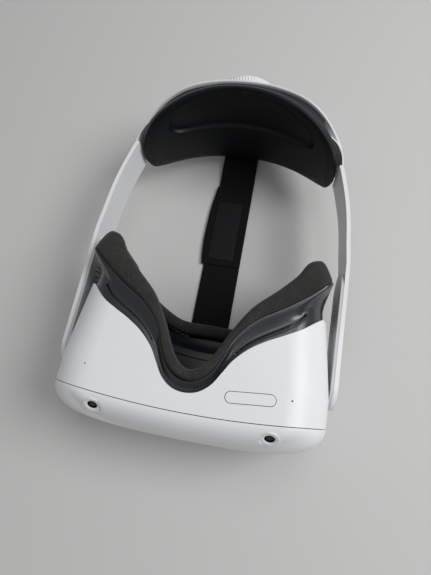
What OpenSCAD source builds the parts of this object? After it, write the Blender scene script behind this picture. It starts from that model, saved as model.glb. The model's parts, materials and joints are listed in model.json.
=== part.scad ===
// Stand-alone VR headset with a rigid halo strap, lying upside down on its top face.
// Units are millimetres. The floor is z = 0, the wearer's down is +Z, the wearer's front is -Y
// and the wearer's right is +X. The origin is on the flat top face, at the shells' parting line.

/* [Visor] */
// Width of the visor over its side walls
visor_w = 191.5; // [160:0.5:230]
// Height of the visor, from its flat top face to its underside
visor_h = 102; // [85:0.5:122]
// Corner radius of the visor seen from the front
corner_r = 32; // [20:1:38]
// Wall of the two white shells
shell_wall = 2; // [1.2:0.1:2.4]
// How far the front shell bulges forward of the parting line
front_bulge = 17.5; // [14.5:0.5:24]
// How far the parting line bows forward at the middle
parting_bow = 6.2; // [4:0.2:8]
// Gap between the two shells at the parting line
parting_gap = 0.3; // [0.2:0.1:0.6]

/* [Face interface] */
// Gap between the white shell and the black face frame
frame_gap = 0.5; // [0.3:0.1:1]
// Wall of the black face frame
frame_wall = 2; // [1.4:0.1:2.6]
// Height of the foam rim along the cheeks and the forehead
foam_band = 16; // [12:1:22]
// Travel of the face interface when it is pulled off its clips
interface_travel = 12; // [6:1:20]

/* [Optics] */
// Distance between the two lens centres at rest
lens_spacing = 63; // [60:0.5:66]
// Radius of the clear lens
lens_r = 19; // [16:0.5:20]
// Radius of the round rails that the lens carriages slide on
rail_r = 1.5; // [1:0.1:2]
// Radial running clearance of rails, pins and shafts
run_gap = 0.05; // [0.02:0.01:0.1]

/* [Controls and ports] */
// Length of the volume rocker
rocker_l = 32.2; // [24:0.2:36]
// Width of the volume rocker
rocker_w = 7.2; // [6:0.2:10]
// Gap round the rocker and the power button
button_gap = 0.35; // [0.2:0.05:0.6]
// Radius of the headphone jack's bore
jack_r = 1.775; // [1.25:0.025:3.2]
// Depth of the headphone jack's bore
jack_l = 12; // [9:0.5:14]

/* [Side arms] */
// Height of the side arms
arm_h = 31.4; // [24:0.2:38]
// Thickness of the white outer arms
arm_t = 3.1; // [2.2:0.1:3.4]
// Radius of the pivot pins
pivot_r = 4; // [3:0.1:5]

/* [Rear cradle] */
// Inside radius of the head pad
pad_r = 110.5; // [109:0.5:112]
// Thickness of the head pad
pad_t = 11; // [7:0.5:11.5]
// Outside radius of the white rear shell
cradle_r = 134.5; // [134:0.5:137]
// Radius of the dial
dial_r = 27; // [18:0.5:28]
// Thickness of the dial
dial_t = 11; // [8:0.5:14]
// How far the dial can pull the cradle towards the visor
cradle_travel = 14; // [8:1:14]
// Tooth module of the dial's pinion and racks
tooth_m = 1; // [0.8:0.05:1.1]
// Number of teeth of the dial's pinion
pinion_teeth = 12; // [11:1:13]

/* [Top strap] */
// Width of the woven top strap
strap_w = 34; // [25:1:38]
// Thickness of the woven top strap
strap_t = 1.8; // [1.2:0.1:2.2]

/* [Hidden] */
$fn = 64;

white = [0.87, 0.88, 0.89];
light_grey = [0.75, 0.76, 0.77];
black = [0.07, 0.08, 0.09];
dark_grey = [0.2, 0.19, 0.18];

half_w = visor_w / 2;
mid_z = visor_h / 2;
rear_y = 76;              // where the side walls would end if they were not cut
shell_end_y = 72.5;       // where the cut side walls end
taper_y = 20;             // where the side walls start to run in
taper = 7.75 / 56;        // how much each side runs in per millimetre of depth
face_power = 2.6;         // roundness of the front face from top to bottom
plan_power = 8;           // roundness of the front face from side to side
bow_w = half_w - 6.75;      // half the width over which the parting surface bows
parting_r = (bow_w * bow_w + parting_bow * parting_bow) / (2 * parting_bow);

// Half outlines seen from below, from the middle out to the side. They are drawn for a visor
// 191.5 mm wide and are stretched with it.
stretch = visor_w / 191.5;
NOSE_EDGE = [[0, 6.3], [9, 8.2], [16.5, 14], [22, 22.5], [28, 32], [37, 41], [47.5, 48], [58, 53.5],
    [70, 60.5], [84, shell_end_y]];
BROW_EDGE = [[0, 48], [30, 50.5], [55, 57], [72, 65], [84, shell_end_y]];
CHEEK_FRONT = [[0, 13.7], [8.5, 16], [16, 23], [21.5, 34], [27, 47.5], [39, 61], [58, 73.5],
    [72, 84], [81, 92], [87.5, 98]];
CHEEK_REAR = [[0, 21.8], [7.6, 26], [13.3, 34], [19.4, 46], [25, 59], [35, 73], [47.4, 84],
    [58.8, 95.7], [68.3, 108], [77.5, 113.5], [84.5, 111.5], [87.4, 105.5], [87.5, 98]];
BROW_FRONT = [[0, 60], [25, 61], [47, 71], [62, 82], [75, 92], [87.5, 98]];
BROW_REAR = [[0, 71.5], [20, 71.8], [32, 74.5], [47, 84.5], [58.8, 97], [68.3, 108],
    [77.5, 113.5], [84.5, 111.5], [87.4, 105.5], [87.5, 98]];
foam_z0 = 4.5;            // the foam and its frame stay above the strap that runs under them
foam_z1 = visor_h - 0.5;
foam_half_w = 88 * stretch;
foam_corner_r = 7;
sleeve_d = interface_travel / 2; // how far the face frame reaches in behind the shell's edge

eye_z = 46;
lens_x = lens_spacing / 2;
barrel_r = lens_r + 2;
bezel_y = 20;
skirt_y = BROW_EDGE[0][1] - sleeve_d - 0.5; // rear edge of the skirt, clear of the face frame's sleeve
rail_dz = barrel_r + 4.5;
rail_y = 4;

pivot_y = 31;
pivot_z = 56.8;
plate_in = half_w + 0.45; // inner face of the headset's own arms
plate_t = 2.1;
arm_in = plate_in + plate_t;
arm_out = arm_in + arm_t;
arm_z0 = pivot_z - arm_h / 2;

cradle_y = 130.8;         // centre of the curved cradle
pad_back = pad_r + pad_t;
frame_r0 = pad_back + 0.3;
frame_t = 2.6;
cradle_wall = 2.5;
dial_z = 62;
pitch_r = tooth_m * pinion_teeth / 2;
rack_y = cradle_y + frame_r0 + frame_t + 0.7;
rack_t = 3.4;
dial_y = cradle_y + cradle_r + 0.6;
shaft_r = 3.4;
strap_x = -3.2;
strap_z0 = 0.3;
strap_seam_y = 150;
anchor_y = cradle_y + 121.7;  // where the strap meets the loop that holds its rear end

// Points of a smooth curve through a list of points (Catmull-Rom, steps points a span)
function at(p, i) = p[max(0, min(len(p) - 1, i))];
function spline(a, b, c, d, t) = 0.5 * (2 * b + (c - a) * t + (2 * a - 5 * b + 4 * c - d) * t * t
    + (3 * b - a - 3 * c + d) * t * t * t);
function smooth(p, steps = 4) = [for (i = [0 : len(p) - 2], k = [0 : steps - 1])
    spline(at(p, i - 1), p[i], p[i + 1], at(p, i + 2), k / steps), p[len(p) - 1]];
function backwards(p) = [for (i = [len(p) - 1 : -1 : 0]) p[i]];
function mirrored(p) = [for (q = p) [-q[0], q[1]]];
// A half outline and its mirror image, from the left end to the right end
function across(half) = let (s = smooth([for (i = [0 : len(half)]) i == 0 ? mirrored(half)[1]
    : half[i - 1]])) let (right = [for (i = [4 : len(s) - 1]) s[i]])
    concat(backwards([for (i = [1 : len(right) - 1]) [-right[i][0], right[i][1]]]), right);
function side_x(y) = half_w - max(0, y - taper_y) * taper;

module along_y(y0, y1) translate([0, y1, 0]) rotate([90, 0, 0]) linear_extrude(y1 - y0) children();
module along_x(x0, x1) translate([x0, 0, 0]) rotate([90, 0, 90]) linear_extrude(x1 - x0) children();
module on_both_sides() {
    children();
    mirror([1, 0, 0]) children();
}

module rounded(w, h, r) {
    square([w - 2 * r, h], center = true);
    square([w, h - 2 * r], center = true);
    for (x = [-1, 1], y = [-1, 1])
        translate([x * (w / 2 - r), y * (h / 2 - r)]) circle(r);
}

module pill(l, w) {
    square([l - w, w], center = true);
    for (x = [-1, 1]) translate([x * (l - w) / 2, 0]) circle(w / 2);
}

module front_view(inset) translate([0, mid_z])
    rounded(visor_w - 2 * inset, visor_h - 2 * inset, corner_r - inset);

// Plan of the visor: bowed front face and side walls that run in towards the rear
module plan_view(inset, rear) {
    w = half_w - inset;
    front = [for (i = [-20 : 20]) let (x = w * sin(i * 4.5), u = abs(x) / w)
        [x, -parting_bow * (1 - x * x / (bow_w * bow_w))
            - (front_bulge - inset) * sqrt(1 - pow(u, plan_power))]];
    polygon(concat(front, [[w, taper_y], [side_x(rear) - inset, rear], [inset - side_x(rear), rear],
        [-w, taper_y]]));
}

module side_view(inset, rear) {
    h = mid_z - inset;
    front = [for (i = [-16 : 16]) let (v = sin(i * 5.625))
        [-parting_bow - (front_bulge - inset) * sqrt(1 - pow(abs(v), face_power)), mid_z + h * v]];
    polygon(concat(front, [[rear, mid_z + h], [rear, mid_z - h]]));
}

module visor_block(inset) intersection() {
    along_y(-60, rear_y) front_view(inset);
    linear_extrude(visor_h) plan_view(inset, rear_y);
    along_x(-half_w, half_w) side_view(inset, rear_y);
}

// The visor's straight part between two depths, with side walls that run in towards the rear
module body_block(inset, y0, y1) intersection() {
    along_y(y0, y1) front_view(inset);
    linear_extrude(visor_h) {
        w = half_w - inset;
        rear_w = side_x(y1) - inset;
        polygon([[-w, y0], [w, y0], [w, taper_y], [rear_w, y1], [-rear_w, y1], [-w, taper_y]]);
    }
}

// Everything behind the bowed parting surface, moved back by shift
module behind_parting(shift) intersection() {
    translate([0, shift - parting_bow + parting_r, -1]) cylinder(r = parting_r, h = visor_h + 2, $fn = 400);
    translate([-120, -30, -1]) cube([240, 160, visor_h + 2]);
}

// Plan area behind a half outline
module rear_of(half, dy = 0) {
    edge = [for (q = across(half)) [q[0] * stretch, q[1] + dy]];
    polygon(concat(edge, [[130, edge[len(edge) - 1][1]], [130, 190], [-130, 190], [-130, edge[0][1]]]));
}

module cheek_half() translate([0, 0, mid_z]) linear_extrude(80) children();
module brow_half() translate([0, 0, -20]) linear_extrude(mid_z + 20) children();

// --- visor ---

CAMERAS = [[37.45 - half_w, -12.3, visor_h - 5.3, 0, 37], [half_w - 37.45, -12.3, visor_h - 5.3, 0, 37],
    [12.75 - half_w, -9.6, 17, -38, -32], [half_w - 12.75, -9.6, 17, 38, -32]];

// Puts its child on a camera's seat, with +Z along the direction that the camera looks
module at_camera(i) {
    c = CAMERAS[i];
    translate([c[0], c[1], c[2]]) rotate([0, 0, c[3]]) rotate([90 - c[4], 0, 0]) children();
}

module front_shell() color(white) difference() {
    visor_block(0);
    visor_block(shell_wall);
    behind_parting(-parting_gap / 2);
    for (i = [0 : 3]) at_camera(i) translate([0, 0, -12]) cylinder(r = 4.6, h = 30);
}

module rocker_place() translate([42.7 * stretch, 10, 0]) rotate([0, 0, 5.5]) children();
mic_x = 68.7 * stretch;
mic_y = 13.3;
boss_x = 0.8747 * half_w;
boss_z = [32, visor_h - 32];
power_y = 52;
power_z = 25;
port_z = 24.1;            // top of the board that carries the ports
usb_y = 60;
usb_z = port_z + 1.6;
jack_y = 46;
jack_body_r = jack_r + 1.125;
jack_z = port_z + jack_body_r;

module body_shell() color(white) {
    difference() {
        body_block(0, -10, rear_y);
        body_block(shell_wall, -12, rear_y + 4);
        difference() {
            translate([-120, -60, -1]) cube([240, 100, visor_h + 2]);
            behind_parting(parting_gap / 2);
        }
        cheek_half() rear_of(NOSE_EDGE);
        brow_half() rear_of(BROW_EDGE);
        rocker_place() translate([0, 0, visor_h - 10]) linear_extrude(20)
            pill(rocker_l + 2 * button_gap, rocker_w + 2 * button_gap);
        for (s = [-1, 1]) translate([s * mic_x, mic_y, visor_h - 5]) cylinder(r = 0.5, h = 10);
        on_both_sides() translate([half_w - 12, pivot_y, pivot_z]) rotate([0, 90, 0])
            cylinder(r = pivot_r + 0.2, h = 20);
        translate([half_w - 14, power_y, power_z]) rotate([90, 0, 90]) linear_extrude(20)
            pill(12 + 2 * button_gap, 5 + 2 * button_gap);
        translate([9 - half_w, usb_y, usb_z]) rotate([90, 0, -90]) linear_extrude(20) pill(9.6, 3.9);
        translate([9 - half_w, jack_y, jack_z]) rotate([0, -90, 0]) cylinder(r = 3.3, h = 20);
    }
    // screw bosses on ribs from the side walls
    on_both_sides() for (z = boss_z) difference() {
        union() {
            translate([boss_x, 4, z]) rotate([90, 0, 0]) cylinder(r = 3.6, h = 11.8);
            translate([boss_x, 1.2, z - 1]) cube([half_w - boss_x - shell_wall + 0.6, 2.8, 2]);
        }
        translate([boss_x, 5, z]) rotate([90, 0, 0]) cylinder(r = 1.3, h = 13);
    }
}

// Black bezel round the lenses, with the trough that the nose reaches into
module inner_bezel() color(black) {
    difference() {
        intersection() {
            translate([-120, bezel_y, -1]) cube([240, 2, visor_h + 2]);
            body_block(shell_wall + 0.4, 0, 60);
        }
        for (s = [-1, 1]) translate([s * lens_x, bezel_y + 5, eye_z]) rotate([90, 0, 0])
            linear_extrude(10) pill(2 * lens_r + 6, 2 * lens_r);
        translate([-23, 0, 66]) cube([46, 60, 60]);
        translate([-33, 0, visor_h - 8]) cube([66, 60, 60]);
        translate([0, bezel_y + 5, 20]) rotate([90, 0, 0]) cylinder(r = 2.7, h = 10);
    }
    // skirt that lines the shell's top wall back to the face frame
    intersection() {
        difference() {
            body_block(shell_wall + 0.4, bezel_y, skirt_y);
            body_block(shell_wall + 1.6, bezel_y - 1, skirt_y + 1);
        }
        translate([-64, 0, -1]) cube([128, 80, 12]);
    }
    translate([0, 28.3, 64.4]) difference() {
        cylinder(r = 19, h = visor_h - foam_band - 67);
        translate([0, 0, 1.6]) cylinder(r = 17.4, h = 40);
        translate([-30, -4.3, -1]) cube([60, 60, 60]);
    }
}

module chassis_plate() color([0.55, 0.56, 0.58]) difference() {
    along_y(-9.4, -7.8) translate([0, mid_z]) rounded(2 * boss_x + 9, 78, 10);
    for (s = [-1, 1], z = boss_z) translate([s * boss_x, 0, z]) rotate([90, 0, 0]) cylinder(r = 1.35, h = 20);
    for (s = [-1, 1]) translate([s * lens_x, 0, eye_z]) rotate([90, 0, 0]) cylinder(r = 6, h = 20);
    for (i = [0 : 3]) at_camera(i) translate([0, 0, -11]) cylinder(r = 7.5, h = 22);
}

module chassis_screws() color([0.3, 0.3, 0.32])
    for (s = [-1, 1], z = boss_z) translate([s * boss_x, -9.4, z]) rotate([90, 0, 0]) difference() {
        union() {
            cylinder(r = 2.5, h = 1.5);
            translate([0, 0, -9]) cylinder(r = 1.2, h = 9.5);
        }
        translate([0, 0, 0.7]) cylinder(r = 1, h = 2, $fn = 6);
    }

board_w = 132;
board_z0 = 22;
board_z1 = 80;

module mainboard() color([0.1, 0.3, 0.2]) {
    difference() {
        translate([-board_w / 2, -11.4, board_z0]) cube([board_w, 1.3, board_z1 - board_z0]);
        for (s = [-1, 1], z = [board_z0 + 4, board_z1 - 4])
            translate([s * (board_w / 2 - 4), 0, z]) rotate([90, 0, 0]) cylinder(r = 1.3, h = 30);
    }
    for (s = [-1, 1]) translate([s * 36 - 7, -12.4, 44]) cube([14, 1.01, 14]);
}

module heat_sink() color([0.7, 0.7, 0.72]) on_both_sides() {
    translate([18, -13.6, 28]) cube([42, 1.1, 46]);
    for (x = [18 : 3 : 58.5]) translate([x, -16.4, 28]) cube([0.8, 3, 46]);
}

fan_z = 51;

module fan_frame() color(black) translate([0, -12.5, fan_z]) rotate([90, 0, 0]) {
    difference() {
        translate([-15, -15, 0]) cube([30, 30, 7]);
        translate([0, 0, 0.8]) cylinder(r = 13.4, h = 10);
        for (x = [-1, 1], y = [-1, 1]) translate([x * 12.6, y * 12.6, -1]) cylinder(r = 1.1, h = 10);
    }
    cylinder(r = 1, h = 5.5);
}

module fan_rotor() color(dark_grey) translate([0, -13.9, fan_z]) rotate([90, 0, 0]) difference() {
    union() {
        cylinder(r = 6, h = 4.8);
        for (i = [0 : 8]) rotate([0, 0, i * 40]) translate([5.5, -0.5, 0.2]) rotate([0, 0, 14])
            cube([7, 0.9, 4.4]);
    }
    translate([0, 0, -1]) cylinder(r = 1 + run_gap, h = 5.3);
}

module display_panel() color([0.05, 0.05, 0.06]) difference() {
    translate([-60, -7.3, 24]) cube([120, 1.8, 44]);
    for (s = [-1, 1]) translate([s * 58, 0, 26]) rotate([90, 0, 0]) cylinder(r = 1, h = 20);
}

module battery_pack() color([0.16, 0.17, 0.2]) {
    translate([58.2, -4.6, 26]) cube([21.4, 20, 50]);
    translate([64, 15.4, 46]) cube([10, 1.4, 10]);
}

module lens_rails() color([0.7, 0.7, 0.72])
    for (z = [eye_z - rail_dz, eye_z + rail_dz])
        translate([-57, rail_y, z]) rotate([0, 90, 0]) cylinder(r = rail_r, h = 114);

module carriage() difference() {
    union() {
        translate([lens_x, bezel_y - 3, eye_z]) rotate([90, 0, 0]) cylinder(r = barrel_r, h = bezel_y + 1.5);
        translate([lens_x - 5, rail_y - 3, eye_z - rail_dz - 3]) cube([10, 6, 2 * rail_dz + 6]);
    }
    translate([lens_x, bezel_y, eye_z]) rotate([90, 0, 0]) cylinder(r = lens_r - 1.2, h = 60);
    translate([lens_x, bezel_y, eye_z]) rotate([90, 0, 0]) cylinder(r = lens_r + 0.1, h = 10);
    for (z = [eye_z - rail_dz, eye_z + rail_dz])
        translate([0, rail_y, z]) rotate([0, 90, 0]) cylinder(r = rail_r + run_gap, h = 120);
}
module lens_carriage_left() color(black) mirror([1, 0, 0]) carriage();
module lens_carriage_right() color(black) carriage();

// Plano-convex lens on its seat in the carriage
module lens_disc() translate([lens_x, bezel_y - 9.9, eye_z]) rotate([-90, 0, 0]) intersection() {
    cylinder(r = lens_r, h = 8);
    translate([0, 0, 6.4 - 60]) sphere(r = 60, $fn = 100);
}
module lens_left() color([0.8, 0.85, 0.9]) mirror([1, 0, 0]) lens_disc();
module lens_right() color([0.8, 0.85, 0.9]) lens_disc();

module camera_module() color(black) {
    difference() {
        translate([0, 0, -6.5]) cylinder(r = 4.3, h = 5.6);
        translate([0, 0, -1.9]) cylinder(r = 3.2, h = 3);
    }
    translate([-4.5, -4.5, -9]) cube([9, 9, 2.5]);
}
module tracking_camera_1() at_camera(0) camera_module();
module tracking_camera_2() at_camera(1) camera_module();
module tracking_camera_3() at_camera(2) camera_module();
module tracking_camera_4() at_camera(3) camera_module();

// Height of the underside wall's inner face, which drops where the corner starts
function inner_z(x) = visor_h - corner_r
    + sqrt(pow(corner_r - shell_wall, 2) - pow(max(0, x - half_w + corner_r), 2));

mic_r = 1.6;

module microphones() color([0.7, 0.65, 0.4])
    for (s = [-1, 1]) translate([s * mic_x, mic_y, inner_z(mic_x + mic_r) - 1.36])
        cylinder(r = mic_r, h = 1.3);

module proximity_sensor() color([0.1, 0.02, 0.05]) translate([0, bezel_y + 1.9, 20]) rotate([90, 0, 0])
    cylinder(r = 2.6, h = 2.6);

module port_board() color([0.1, 0.3, 0.2])
    translate([11.75 - half_w, jack_y - 6, port_z - 1.3]) cube([15, usb_y - jack_y + 11, 1.3]);

module usb_port() color([0.7, 0.7, 0.72]) translate([-side_x(usb_y) + 1, usb_y, usb_z])
    rotate([90, 0, 90]) difference() {
        linear_extrude(8) pill(8.9, 3.2);
        translate([0, 0, -1]) linear_extrude(7.5) pill(8.3, 2.6);
    }

jack_x = -side_x(jack_y) + shell_wall + 0.3; // the jack sits just inside the wall

module audio_jack() color([0.15, 0.15, 0.16]) translate([jack_x, jack_y, jack_z]) rotate([0, 90, 0])
    difference() {
        union() {
            cylinder(r = jack_body_r, h = jack_l + 1);
            translate([-jack_body_r, -jack_body_r, 3]) cube([2 * jack_body_r, 2 * jack_body_r, jack_l - 2]);
        }
        translate([0, 0, -1]) cylinder(r = jack_r, h = jack_l + 1);
    }

rocker_axis_z = visor_h - 3.6;

module volume_rocker() color(white) rocker_place() {
    translate([0, 0, visor_h - 2.4]) linear_extrude(2.5) pill(rocker_l, rocker_w);
    translate([0, rocker_w / 2 + 0.2, rocker_axis_z]) rotate([90, 0, 0]) cylinder(r = 1, h = rocker_w + 0.4);
    translate([-1, 1 - rocker_w / 2, rocker_axis_z]) cube([2, rocker_w - 2, 1.4]);
}

module rocker_mount() color([0.1, 0.3, 0.2]) rocker_place() {
    end = rocker_l / 2 + 3.9;
    translate([-end, -5.5, visor_h - 8]) cube([2 * end, 11, 1.2]);
    for (s = [-1, 1]) {
        translate([s * 9.5 - 2, -2, visor_h - 6.9]) cube([4, 4, 3.9]);
        translate([s * (end - 0.75) - 0.75, -5.5, visor_h - 6.9]) cube([1.5, 11, 6.9 - shell_wall]);
    }
    for (s = [-1, 1]) difference() {
        translate([-2.2, s * (rocker_w / 2 - 0.15) - 0.5, visor_h - 6.9]) cube([4.4, 1, 4.3]);
        translate([0, 10, rocker_axis_z]) rotate([90, 0, 0]) cylinder(r = 1 + run_gap, h = 20);
    }
}

power_x = side_x(power_y);

module power_button() color(white) translate([power_x - 4.4, power_y, power_z])
    rotate([90, 0, 90]) linear_extrude(5.2) pill(12, 5);

module power_switch() color([0.3, 0.3, 0.32]) translate([power_x - 9.4, power_y, power_z]) {
    translate([0, -2, -2]) cube([3.9, 4, 4]);
    translate([-1.3, -7, -5]) cube([1.4, 14, 10]);
}

module pivot_pins() color([0.6, 0.6, 0.62]) on_both_sides()
    translate([half_w - 6.5, pivot_y, pivot_z]) rotate([0, 90, 0]) {
        cylinder(r = pivot_r, h = plate_in + plate_t - half_w + 6.5);
        cylinder(r = pivot_r + 2.5, h = 2);
    }

// --- face interface ---

// The frame's straight sides clear the shell's narrowest place, so that it can be pulled out
module frame_area(inset) {
    w = 2 * (side_x(shell_end_y) - inset);
    along_y(0, 115) translate([0, mid_z]) rounded(w, visor_h - 2 * inset, corner_r - inset);
}

module foam_block(inset) along_y(0, 120) translate([0, (foam_z1 + foam_z0) / 2])
    rounded(2 * (foam_half_w - inset), foam_z1 - foam_z0 - 2 * inset, foam_corner_r - inset);

module face_frame() color(black) {
    difference() {
        intersection() {
            frame_area(shell_wall + frame_gap);
            union() {
                cheek_half() difference() {
                    rear_of(NOSE_EDGE, -sleeve_d);
                    rear_of(CHEEK_FRONT, -0.2);
                }
                brow_half() difference() {
                    rear_of(BROW_EDGE, -sleeve_d);
                    rear_of(BROW_FRONT, -0.2);
                }
            }
        }
        frame_area(shell_wall + frame_gap + frame_wall);
    }
    // rims that carry the foam along the cheeks and the forehead
    intersection() {
        foam_block(0.5);
        union() {
            translate([0, 0, foam_z1 - foam_band]) linear_extrude(foam_band) difference() {
                rear_of(CHEEK_FRONT, -2.2);
                rear_of(CHEEK_FRONT, -0.2);
            }
            translate([0, 0, foam_z0]) linear_extrude(foam_band) difference() {
                rear_of(BROW_FRONT, -2.2);
                rear_of(BROW_FRONT, -0.2);
            }
        }
    }
}

module foam_rim() color(dark_grey) intersection() {
    foam_block(0);
    union() {
        translate([0, 0, foam_z1 - foam_band]) linear_extrude(foam_band) difference() {
            rear_of(CHEEK_FRONT);
            rear_of(CHEEK_REAR);
        }
        translate([0, 0, foam_z0]) linear_extrude(foam_band) difference() {
            rear_of(BROW_FRONT);
            rear_of(BROW_REAR);
        }
        // temple pads join the two bands
        cheek_half() difference() {
            rear_of(CHEEK_FRONT);
            rear_of(CHEEK_REAR);
            square([140, 400], center = true);
        }
        brow_half() difference() {
            rear_of(BROW_FRONT);
            rear_of(BROW_REAR);
            square([140, 400], center = true);
        }
    }
}

// Tongue on the shell's edge that the top strap is sewn to
module front_strap_anchor() color(black) difference() {
    intersection() {
        translate([strap_x - strap_w / 2 - 3, BROW_EDGE[0][1] - 4, strap_z0])
            cube([strap_w + 6, 14, strap_t]);
        brow_half() rear_of(BROW_EDGE);
    }
    translate([strap_x - strap_w / 2, BROW_EDGE[0][1] + 4, -1]) cube([strap_w, 2.5, 6]);
}

// --- side arms ---

ARM_OUTER = [[0, 119], [-0.5, 129], [-1.6, 141], [-3.2, 160], [-6.2, 180], [-11.8, 204], [-13.6, 209]];

// Plan of one outer arm: flat along the visor, then bending in towards the cradle
module arm_plan() {
    outer = [for (q = smooth(ARM_OUTER)) [arm_out + q[0], q[1]]];
    inner = [for (q = smooth(ARM_OUTER)) [arm_in + q[0] * 1.03, q[1]]];
    polygon(concat([[arm_out - 1.2, pivot_y - arm_h / 2], [arm_out, pivot_y - arm_h / 2 + 8]], outer,
        backwards(inner), [[arm_in, pivot_y - arm_h / 2]]));
}

module arm_side(y1) translate([pivot_y, pivot_z]) {
    circle(arm_h / 2);
    translate([0, -arm_h / 2]) square([y1 - pivot_y, arm_h]);
}

module outer_arm() intersection() {
    translate([0, 0, arm_z0]) linear_extrude(arm_h) arm_plan();
    along_x(60, 120) arm_side(230);
}
module arm_right() color(white) outer_arm();
module arm_left() color(white) mirror([1, 0, 0]) outer_arm();

plate_end = 119;
speaker_y = 84;

module speaker_arm() difference() {
    translate([plate_in, 0, 0]) along_x(0, plate_t) {
        arm_side(plate_end - arm_h / 2 + 4);
        translate([plate_end - arm_h / 2 + 2, pivot_z]) circle(arm_h / 2 - 2);
    }
    translate([60, pivot_y, pivot_z]) rotate([0, 90, 0]) cylinder(r = pivot_r + run_gap, h = 60);
    translate([plate_in + 0.8, speaker_y - 14, pivot_z - 6]) cube([10, 28, 12]);
    for (i = [0 : 5]) translate([60, speaker_y - 10 + i * 4, pivot_z - 1]) rotate([0, 90, 0])
        cylinder(r = 0.8, h = 60);
}
module speaker_arm_right() color(light_grey) speaker_arm();
module speaker_arm_left() color(light_grey) mirror([1, 0, 0]) speaker_arm();

module speaker() translate([plate_in + 0.85, speaker_y - 13.7, pivot_z - 5.7]) cube([1.1, 27.4, 11.4]);
module speaker_right() color([0.3, 0.3, 0.32]) speaker();
module speaker_left() color([0.3, 0.3, 0.32]) mirror([1, 0, 0]) speaker();

// --- rear cradle ---

PAD_TOP = [[0, 111.6], [30, 109.5], [57, 102.5], [72, 91], [80, 77], [84, 64]];
PAD_LOW = [[0, 16], [15, 16.4], [30, 18.6], [45, 20.8], [60, 23.2], [73, 27.2], [81, 36], [84.6, 50],
    [84, 64]];
FRAME_TOP = [[0, 99.5], [29.4, 98], [55.9, 92], [70.6, 83], [78.4, 73], [82.3, 67]];
SHELL_TOP = [[0, 94], [25, 94], [50, 92], [67, 84.5], [80, 72], [88, 60]];
SHELL_LOW = [[0, 7], [25, 11], [50, 20], [70, 30], [82, 42], [88, 60]];

shelf_drop = 3.5;    // below the shell's top edge
shelf_t = 1.8;
shelf_half_w = 68;

// Closed front outline from an upper and a lower half outline that share their outer end
module crescent(top, low) polygon(concat(across(top), backwards(across(low))));

module curved_wall(r0, r1) translate([0, cradle_y, -10]) difference() {
    cylinder(r = r1, h = 140, $fn = 128);
    translate([0, 0, -1]) cylinder(r = r0, h = 142, $fn = 128);
}

module rear_slice(r0, r1) intersection() {
    curved_wall(r0, r1);
    along_y(cradle_y + 40, cradle_y + cradle_r + 5) children();
}

// The pad thins out towards its ends, so that the arms pass behind it
module head_pad() color(black) difference() {
    rear_slice(pad_r, pad_back) crescent(PAD_TOP, PAD_LOW);
    on_both_sides() arm_way();
}

// Room behind the pad and its frame for the arm over the cradle's whole travel
module arm_way() translate([0, 0, arm_z0 - 1]) linear_extrude(arm_h + 2)
    polygon([[arm_in - 4.6, 170], [arm_in - 8.9, 190], [arm_in - 13.1, 204], [arm_in - 16.2, 214],
        [arm_in - 16.2, 240], [arm_in + 8, 240], [arm_in + 8, 170]]);

// Shelf that closes the gap between the frame and the shell
module cradle_shelf() rear_slice(frame_r0, cradle_r - cradle_wall - 0.3) intersection() {
    difference() {
        translate([0, -shelf_drop]) crescent(SHELL_TOP, SHELL_LOW);
        translate([0, -shelf_drop - shelf_t]) crescent(SHELL_TOP, SHELL_LOW);
    }
    translate([-shelf_half_w, visor_h / 2]) square([2 * shelf_half_w, visor_h]);
}

module cradle_frame() color(black) {
    difference() {
        rear_slice(frame_r0, frame_r0 + frame_t) difference() {
            crescent(FRAME_TOP, [for (p = PAD_LOW) [p[0] * 0.98, p[1] + 3]]);
            translate([0, dial_z]) circle(pitch_r + 3);
        }
        on_both_sides() arm_way();
    }
    cradle_shelf();
}

module cradle_shell() color(white) difference() {
    rear_slice(cradle_r - cradle_wall, cradle_r) crescent(SHELL_TOP, SHELL_LOW);
    translate([0, 300, dial_z]) rotate([90, 0, 0]) cylinder(r = shaft_r + 2.4, h = 80);
}

// Loop at the cradle's low edge that the top strap is sewn round
module rear_strap_anchor() color(black) difference() {
    union() {
        translate([strap_x - strap_w / 2 - 1.7, anchor_y + 2, 0]) cube([strap_w + 3.4, 5.5, 9.5]);
        translate([strap_x - 13, anchor_y + 2, 9]) cube([26, 5.5, 25]);
    }
    translate([strap_x - strap_w / 2 - 0.5, anchor_y - 10, 3]) cube([strap_w + 1, 30, 2.4 + strap_t]);
    translate([0, cradle_y, 13]) cylinder(r = frame_r0 + frame_t + 0.02, h = 60, $fn = 128);
}

module dial_knob() color(white) translate([0, dial_y, dial_z]) rotate([-90, 0, 0]) difference() {
    union() {
        cylinder(r = dial_r, h = dial_t - 2);
        translate([0, 0, dial_t - 2]) cylinder(r1 = dial_r, r2 = dial_r - 2, h = 2);
    }
    translate([0, 0, -1]) cylinder(r = dial_r - 3, h = 5);
    for (i = [0 : 35]) rotate([0, 0, i * 10]) translate([dial_r + 0.5, 0, -1])
        cylinder(r = 1, h = dial_t + 2);
    translate([0, 0, -1]) cylinder(r = shaft_r - 1, h = 6);
}

// Involute pinion on the dial's shaft, meshing with one rack above and one below
pressure = 25;
addendum = 0.8 * tooth_m;
dedendum = 1.05 * tooth_m;
backlash = 0.24;
function roll(r) = let (b = pitch_r * cos(pressure)) r <= b ? 0 : sqrt(r * r / (b * b) - 1) * 180 / PI
    - acos(b / r);
function flank_angle(r) = 90 / pinion_teeth - backlash / 2 / pitch_r * 180 / PI + roll(pitch_r) - roll(r);
function polar(r, a) = [r * cos(a), r * sin(a)];
FLANK = [for (i = [0 : 5]) pitch_r - dedendum + i * (addendum + dedendum) / 5];

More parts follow.
